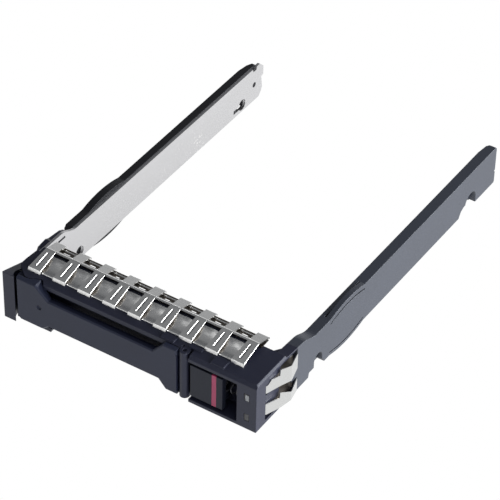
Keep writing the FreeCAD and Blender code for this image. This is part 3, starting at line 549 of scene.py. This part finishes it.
def web_sheet(middle, number):
    """The height is the foot, plus the rise times the share of the way back to the power 2.5, less the dish times
    the square of the place across. Two waves, of two and one hundredths of a millimetre and other for each web,
    make it look pressed. Dish and waves grow with the share."""
    share = np.linspace(0, 1, WEB_STEPS)
    depth = WEB_START + share * (WEB_END - WEB_START)
    half = PITCH / 2 - finger_half(depth) + WEB_LAP
    u = WEB_COLUMNS * half[:, None]
    y = depth[:, None]
    wave = 0.02 * np.sin(2.1 * u + 1.7 * number) * np.sin(1.9 * y + 0.9 * number) + 0.01 * np.sin(3.4 * y - 1.3 * u)
    pressed = (wave - WEB_DISH * (u / half[:, None]) ** 2) * share[:, None]
    height = WEB_FOOT + WEB_RISE * share[:, None] ** WEB_POWER + pressed
    return (*pressed_sheet(deck_grid(middle + u, depth, height), SHEET), BRIGHT)


webs = [web_sheet(middle, number) for number, middle in enumerate(gap_x)]
print("webs", len(webs), "rising from", WEB_FOOT, "to", round(WEB_FOOT + WEB_RISE, 2))

# %% [markdown]
# ## Walls under the fingers
#
# A finger stands higher than the web beside it. On the real strip the metal between them is folded down and lies
# in shade, and without it the eye would look under the finger. A full fold isn't seen, so a narrow strip that
# joins the two heights along the finger's right side is enough. Its shade is painted: it takes the dark brown copy
# of the steel.


# %% Walls from finger to web
def wall_sheet(middle):
    """Two columns: the upper one runs 0.12 mm under the finger's straight slope, the lower one a tenth of a
    millimetre under the web's rise, and never above the upper one."""
    share = np.linspace(-0.15, 1, WEB_STEPS)
    depth = WEB_START + share * (WEB_END - WEB_START)
    x = middle + finger_half(depth)[:, None] + np.array([-0.05, -0.03])
    upper = np.interp(depth, [NOSE_TOP[0], BELOW_CREST[0]], [NOSE_TOP[1], BELOW_CREST[1]]) - 0.12
    lower = WEB_FOOT - 0.1 + WEB_RISE * np.clip(share, 0, 1) ** WEB_POWER
    height = np.stack([upper, np.minimum(lower, upper - 0.05)], axis=1)
    # painted shade: the wall takes the dark copy of the steel
    return (*pressed_sheet(deck_grid(x, depth, height), SHEET), PAINTED_SHADE)


walls = [wall_sheet(middle) for middle in finger_x[:-1]]
print("walls", len(walls))

# %% [markdown]
# ## Straight strips
#
# The rest of the strip runs straight across: a ridge that joins each two fingers at the crest, the flat band in
# front of the webs, and behind the crest a flange with short slots, in the dark copy of the steel that paints the
# shade there, and a raised hem. Boxes would give square edges. The same rounded profile, carried along X, gives
# them soft folds, and slots are left out cells.


# %% A strip along X
def strip_sheet(corners, x_ends, columns, which, holes=()):
    """The rounded profile through corners is carried from the first to the second of x_ends. holes lists (x from,
    x to, depth from, depth to), and the cells inside them are left out."""
    line = rounded_path(corners, 0.12, 0.2)
    x = np.linspace(*x_ends, columns)
    keep = np.ones((len(line) - 1, columns - 1), bool)
    for low, high, start, end in holes:
        keep[np.ix_((line[:-1, 0] > start) & (line[1:, 0] < end), (x[:-1] > low) & (x[1:] < high))] = False
    height = np.repeat(line[:, 1][:, None], columns, axis=1)
    grid = deck_grid(np.tile(x, (len(line), 1)), line[:, 0], height)
    return (*pressed_sheet(grid, SHEET, keep), which)


print("faces of a plain strip", len(strip_sheet([(0, 0), (1, 0)], (0, 1), 5, BRIGHT)[1]))

# %% Ridges, band, flange and hem
RIDGE_HALF = 2.31
STRIP_SIDE = 1.6
BAND_START = 4.85
ridge_line = [(11.1, 2.04), CREST, (11.9, 1.9), (12.3, 1.82)]
band_line = [(BAND_START - 0.12, -0.04), (BAND_START, 0.2), (WEB_START + 0.05, 0.22)]
flange_line = [(12.5, 0.3), (14.4, 0.24), (15.7, 0.32)]
hem_line = [(14.8, 0.3), (15.0, 0.42), (15.15, 0.34)]
flange_slots = [
    (middle - 1.9 + 0.3 * (n % 3), middle + 0.2 + 0.5 * (n % 2), 13.8, 14.35) for n, middle in enumerate(gap_x)
]
strip_ends = (finger_x[0] - STRIP_SIDE, finger_x[-1] + STRIP_SIDE)
ridges = [strip_sheet(ridge_line, (middle - RIDGE_HALF, middle + RIDGE_HALF), 5, BRIGHT) for middle in gap_x]
band = strip_sheet(band_line, strip_ends, 60, BRIGHT)
# painted shade: the flange takes the dark copy of the steel
flange = strip_sheet(flange_line, strip_ends, 220, PAINTED_SHADE, flange_slots)
hem = strip_sheet(hem_line, strip_ends, 60, BRIGHT)
print("strip from", strip_ends[0].round(2), "to", strip_ends[1].round(2))

# %% The whole strip
strip_parts = fingers + webs + walls + ridges + [band, flange, hem]
top_fingers = piece_from("top_fingers", strip_parts, [finger_steel, painted_shade_steel])
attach(top_fingers, "caddy")
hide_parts("top_emi_clip")

# %% [markdown]
# ## Side fingers
#
# Two broad fingers stand off the bezel's right side in front of a base plate, whose shade is painted with the dark
# copy of the steel. They could be cut from a plane with a knife tool, but slanting outlines on a square grid would
# come out as steps. So each is a grid between two outlines: its rows follow a folded line seen from above, out at
# the nose, on to a crest and back in, and its columns run from the upper outline to the lower one.


# %% A sheet between two outlines
def side_sheet(line, high, low, which, columns=9):
    """Rows follow line, (depth, x) points. high and low are outlines, (depth, height over the bezel's underside)
    points, and the height goes evenly from one to the other. The columns run downwards, so that the normal points
    to the right."""
    share = np.linspace(0, 1, columns)
    upper = np.interp(line[:, 0], *np.array(high).T)[:, None]
    lower = np.interp(line[:, 0], *np.array(low).T)[:, None]
    z = upper + share * (lower - upper) + under_mm
    x = np.repeat(line[:, 1][:, None], columns, axis=1)
    y = np.repeat(line[:, 0][:, None], columns, axis=1) + front_mm
    return (*pressed_sheet(np.stack([x, y, z], axis=2), 0.98 * SHEET), which)


side_low, side_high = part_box("right_emi_clip")
face_x, reach_x = side_low[0] / MM, side_high[0] / MM
side_front, side_end = (side_low[1] - front) / MM, (side_high[1] - front) / MM
print("side clip stands off by", round(reach_x - face_x, 2), "from", round(side_front, 2), "to", round(side_end, 2))

# %% The two side fingers
SIDE_CREST = 13.8
side_line = [(side_front, face_x), (side_front, reach_x - 1.2), (SIDE_CREST, reach_x), (side_end, reach_x - 0.9)]
folded = rounded_path(side_line, 0.1, 0.5)
upper_high = [(4.3, 12.2), (5.0, 12.2), (6.2, 13.0), (9.4, 12.1), (9.5, 13.8), (13.8, 12.4), (side_end, 12.9)]
upper_low = [(4.3, 9.8), (9.4, 8.7), (13.9, 7.4), (side_end, 8.0)]
lower_high = [(4.3, 6.2), (9.5, 4.7), (9.6, 6.4), (14.2, 3.5), (side_end, 4.6)]
lower_low = [(4.3, 2.8), (9.6, 1.3), (13.6, 0.9), (side_end, 0.6)]
broad_fingers = [
    side_sheet(folded, upper_high, upper_low, BRIGHT),
    side_sheet(folded, lower_high, lower_low, BRIGHT),
]
print("rows of a side finger", len(folded))

# %% Base plate, its bright rim and the two roots
PLATE_START = 10.8
plate_high = [(PLATE_START, 12.3), (13.0, 12.7), (15.5, 12.5), (side_end, 11.9)]
plate_rim = [(depth, height - 0.3) for depth, height in plate_high]
flat = np.stack([np.linspace(PLATE_START, side_end, 40), np.full(40, face_x + SHEET)], axis=1)
root = np.stack([np.linspace(side_front + 0.1, PLATE_START + 0.1, 12), np.full(12, face_x + SHEET)], axis=1)
# painted shade: the base plate and the two roots take the dark copy of the steel; the rim is plain steel
base_sheets = [
    side_sheet(flat, plate_rim, [(PLATE_START, 1.2), (side_end, 1.2)], PAINTED_SHADE),
    side_sheet(flat + [0, 0.06], plate_high, plate_rim, BRIGHT, 3),
    side_sheet(root, [(4.0, 11.8), (11.0, 11.8)], [(4.0, 10.2), (11.0, 10.2)], PAINTED_SHADE, 3),
    side_sheet(root, [(4.0, 3.9), (11.0, 3.9)], [(4.0, 2.9), (11.0, 2.9)], PAINTED_SHADE, 3),
]
side_fingers = piece_from("side_fingers", broad_fingers + base_sheets, [side_steel, painted_shade_steel])
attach(side_fingers, "caddy")
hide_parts("right_emi_clip")

# %% [markdown]
# ## The button's return spring
#
# A small compression spring pushes the button back. The construction model's one is rigid and would be run
# through by the button, so it is drawn again as a fine coil. A curve with a bevel could make the wire, but a tube
# of rings is a plain closed mesh from the start. Its first and last turns lie flat, as on a ground spring.


# %% A round wire along a path
def tube_along(path, radius, sides=12):
    """A ring of points round each point of the path. Its first axis points away from the coil's middle line, along
    X, and is made square to the tangent. Its second axis is the cross product of the tangent and the first. Both
    ends are closed with quads."""
    tangent = np.gradient(path, axis=0)
    tangent /= np.linalg.norm(tangent, axis=1, keepdims=True)
    outward = path - path.mean(axis=0)
    outward[:, 0] = 0
    outward -= tangent * np.sum(outward * tangent, axis=1, keepdims=True)
    outward /= np.linalg.norm(outward, axis=1, keepdims=True)
    other = np.cross(tangent, outward)
    angle = np.linspace(0, 2 * np.pi, sides, endpoint=False)[None, :, None]
    rings = path[:, None] + radius * (np.cos(angle) * outward[:, None] + np.sin(angle) * other[:, None])
    number = np.arange(len(path) * sides).reshape(len(path), sides)
    turned = np.roll(number, -1, axis=1)
    skin = np.stack([number[:-1], turned[:-1], turned[1:], number[1:]], axis=2).reshape(-1, 4)
    k = np.arange(0, sides - 2, 2)
    cap = np.stack([0 * k, k + 1, k + 2, k + 3], axis=1)
    quads = np.concatenate([skin, number[0][cap[:, ::-1]], number[-1][cap]])
    return rings.reshape(-1, 3), quads


spring_low, spring_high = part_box("button_spring")
print("spring box in mm", [round((b - a) / MM, 2) for a, b in zip(spring_low, spring_high)])

# %% Coil with flat end turns
WIRE, TURNS, FLAT_TURNS = 0.35, 5, 0.8
CLEARANCE = 0.02
coil_radius = 0.5 * (spring_high[2] - spring_low[2]) / MM - WIRE / 2
coil_y, coil_z = (0.5 * (spring_low[k] + spring_high[k]) / MM for k in (1, 2))
coil_start = spring_low[0] / MM + WIRE / 2 + CLEARANCE
coil_length = (spring_high[0] - spring_low[0]) / MM - WIRE - 2 * CLEARANCE
angle = np.linspace(0, 2 * np.pi * TURNS, 48 * TURNS)
share = np.clip((angle / (2 * np.pi) - FLAT_TURNS) / (TURNS - 2 * FLAT_TURNS), 0, 1)
coil_path = np.stack([
    coil_start + coil_length * share,
    coil_y + coil_radius * np.cos(angle),
    coil_z + coil_radius * np.sin(angle),
], axis=1)
coil = piece_from("return_coil", [(*tube_along(coil_path, WIRE / 2), BRIGHT)], [spring_steel], 60.0)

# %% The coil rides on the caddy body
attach(coil, "caddy")
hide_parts("button_spring")
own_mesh(coil)

# %% [markdown]
# ## Floor
#
# The caddy lies on a white sweep. A very bright floor could make it white, but its light would wash out the dark
# plastic. Here the floor shows white to the camera, and nearly white in reflections, by way of its Light Path,
# while the light that it gives the object stays plain, as on a photographer's table.


# %% White to the eye, plain to the light
MIRRORED_WHITE = 0.88


def sweep_material():
    """The share of an even white glow is the larger of 1 for camera rays and 0.88 for glossy rays. What is left is
    a diffuse white."""
    material, tree, shader = new_finish("white_sweep")
    fill_sockets(tree, shader, {"Base Color": (0.9, 0.9, 0.9, 1), "Roughness": 0.9, "Specular IOR Level": 0.0})
    glow = add_node(tree, "ShaderNodeEmission", {"Color": (1, 1, 1, 1)})
    ray = add_node(tree, "ShaderNodeLightPath", {})
    glossy = add_node(tree, "ShaderNodeMath", {0: ray.outputs["Is Glossy Ray"], 1: MIRRORED_WHITE},
                      operation="MULTIPLY")
    share = add_node(tree, "ShaderNodeMath", {0: ray.outputs["Is Camera Ray"], 1: glossy.outputs["Value"]},
                     operation="MAXIMUM")
    mix = add_node(tree, "ShaderNodeMixShader", {
        "Fac": share.outputs["Value"], 1: shader.outputs["BSDF"], 2: glow.outputs["Emission"]})
    fill_sockets(tree, tree.nodes["Material Output"], {"Surface": mix.outputs["Shader"]})
    return material


print(f"share of the glow: camera 1, reflections {MIRRORED_WHITE}, light on the caddy 0")

# %% The floor
FLOOR_HALF = 3.0
floor_corners = np.array([(-1, -1, 0), (1, -1, 0), (1, 1, 0), (-1, 1, 0)], float) * FLOOR_HALF
floor_corners[:, 2] = cad_box[0][2]
floor_mesh = bpy.data.meshes.new("floor")
floor_mesh.from_pydata(floor_corners.tolist(), [], [(0, 1, 2, 3)])
floor_mesh.materials.append(sweep_material())
floor = bpy.data.objects.new("floor", floor_mesh)
bpy.context.collection.objects.link(floor)
print("floor height in mm", round(cad_box[0][2] / MM, 3))

# %% [markdown]
# ## The room behind the sweep
#
# Bright metal shows what stands round it, and in a studio that is mostly a dim room. A bright world would turn
# every finger white, so the world is faint and a little blue for the light and the reflections. Only the camera
# sees it as white paper, for views that look past the floor's edge.

# %% The world
ROOM_STRENGTH = 0.12
world = bpy.data.worlds.new("studio")
bpy.context.scene.world = world
world.use_nodes = True
room = world.node_tree
dim = room.nodes["Background"]
fill_sockets(room, dim, {"Color": (0.9, 0.93, 1.0, 1), "Strength": ROOM_STRENGTH})
paper = add_node(room, "ShaderNodeBackground", {"Color": (1, 1, 1, 1), "Strength": 1.0})
ray = add_node(room, "ShaderNodeLightPath", {})
choice = add_node(room, "ShaderNodeMixShader", {
    "Fac": ray.outputs["Is Camera Ray"], 1: dim.outputs["Background"], 2: paper.outputs["Background"]})
fill_sockets(room, room.nodes["World Output"], {"Surface": choice.outputs["Shader"]})
print("room strength", ROOM_STRENGTH)

# %% [markdown]
# ## Lamps
#
# Large lamps give the wide soft highlights that show the shape of dark plastic. One big lamp would do for plastic,
# but each bright face of steel mirrors its own direction, so six soft boxes stand in those directions. The key
# stands above and in front, a weak panel hangs overhead, a long one on the right draws the edges that face it, a
# low one beside it lights the rail's side and hardly its top, and two strips, before and behind, are what the
# fingers' noses and tabs mirror.


# %% A soft box that looks at the caddy
LAMP_DISTANCE = 0.9


def soft_box(name, azimuth, elevation, size, watts):
    """An area lamp of that width and height on a sphere round the caddy. The azimuth is measured from the front
    towards the right: x is its sine and y less its cosine, both times the cosine of the elevation, and z is the
    sine of the elevation."""
    lamp = bpy.data.lights.new(name, "AREA")
    lamp.shape = "RECTANGLE"
    lamp.size, lamp.size_y = size
    lamp.energy = watts
    holder = bpy.data.objects.new(name, lamp)
    around, up = math.radians(azimuth), math.radians(elevation)
    holder.location = (
        LAMP_DISTANCE * math.sin(around) * math.cos(up),
        -LAMP_DISTANCE * math.cos(around) * math.cos(up),
        LAMP_DISTANCE * math.sin(up),
    )
    holder.rotation_euler = (math.pi / 2 - up, 0, around)
    bpy.context.collection.objects.link(holder)
    print(name, [round(v, 2) for v in holder.location], watts, "W")


# %% The six soft boxes
soft_box("key", 20, 62, (0.8, 0.8), 2.5)
soft_box("overhead", 0, 89.9, (1.2, 1.2), 0.6)
soft_box("right_fill", 128, 14, (1.3, 0.5), 20.0)
soft_box("side_low", 80, 9, (1.2, 0.25), 14.5)
soft_box("back_strip", 205, 13, (1.2, 0.3), 0.6)
soft_box("front_strip", -25, 13, (1.2, 0.35), 1.6)

# %% [markdown]
# ## Camera
#
# The place, the direction and the long lens were worked out from points of the caddy in the photograph: thirty-two
# degrees round from the front, forty above the table, and turned by one degree. A camera could be aimed by a
# constraint, but a matrix of its three axes keeps that last turn. The place is counted from the middle of the
# bezel's lower front edge.

# %% Camera from the photograph
LENS_MM = 192.77
CAMERA_MM = (286.42, -395.76, 451.66)
LOOK = np.array((-0.40977, 0.64567, -0.64436))
RIGHT = np.array((0.83665, 0.54749, 0.01656))
camera_data = bpy.data.cameras.new("camera")
camera_data.lens = LENS_MM
camera_data.sensor_width = 36.0
camera_data.sensor_fit = "HORIZONTAL"
camera_data.clip_start = 0.01
camera_data.clip_end = 20.0
camera = bpy.data.objects.new("camera", camera_data)
bpy.context.collection.objects.link(camera)
back = -LOOK / np.linalg.norm(LOOK)
right = RIGHT - back * RIGHT.dot(back)
right = right / np.linalg.norm(right)
lower_edge = np.array((0.5 * (bezel_low[0] + bezel_high[0]), front, bezel_low[2]))
turn = np.eye(4)
turn[:3, 0] = right
turn[:3, 1] = np.cross(back, right)
turn[:3, 2] = back
turn[:3, 3] = np.array(CAMERA_MM) * MM + lower_edge
camera.matrix_world = Matrix(turn.tolist())
bpy.context.scene.camera = camera
bpy.context.scene.view_settings.view_transform = "Standard"
print("camera", [round(v, 3) for v in camera.location], [round(math.degrees(v), 1) for v in camera.rotation_euler])
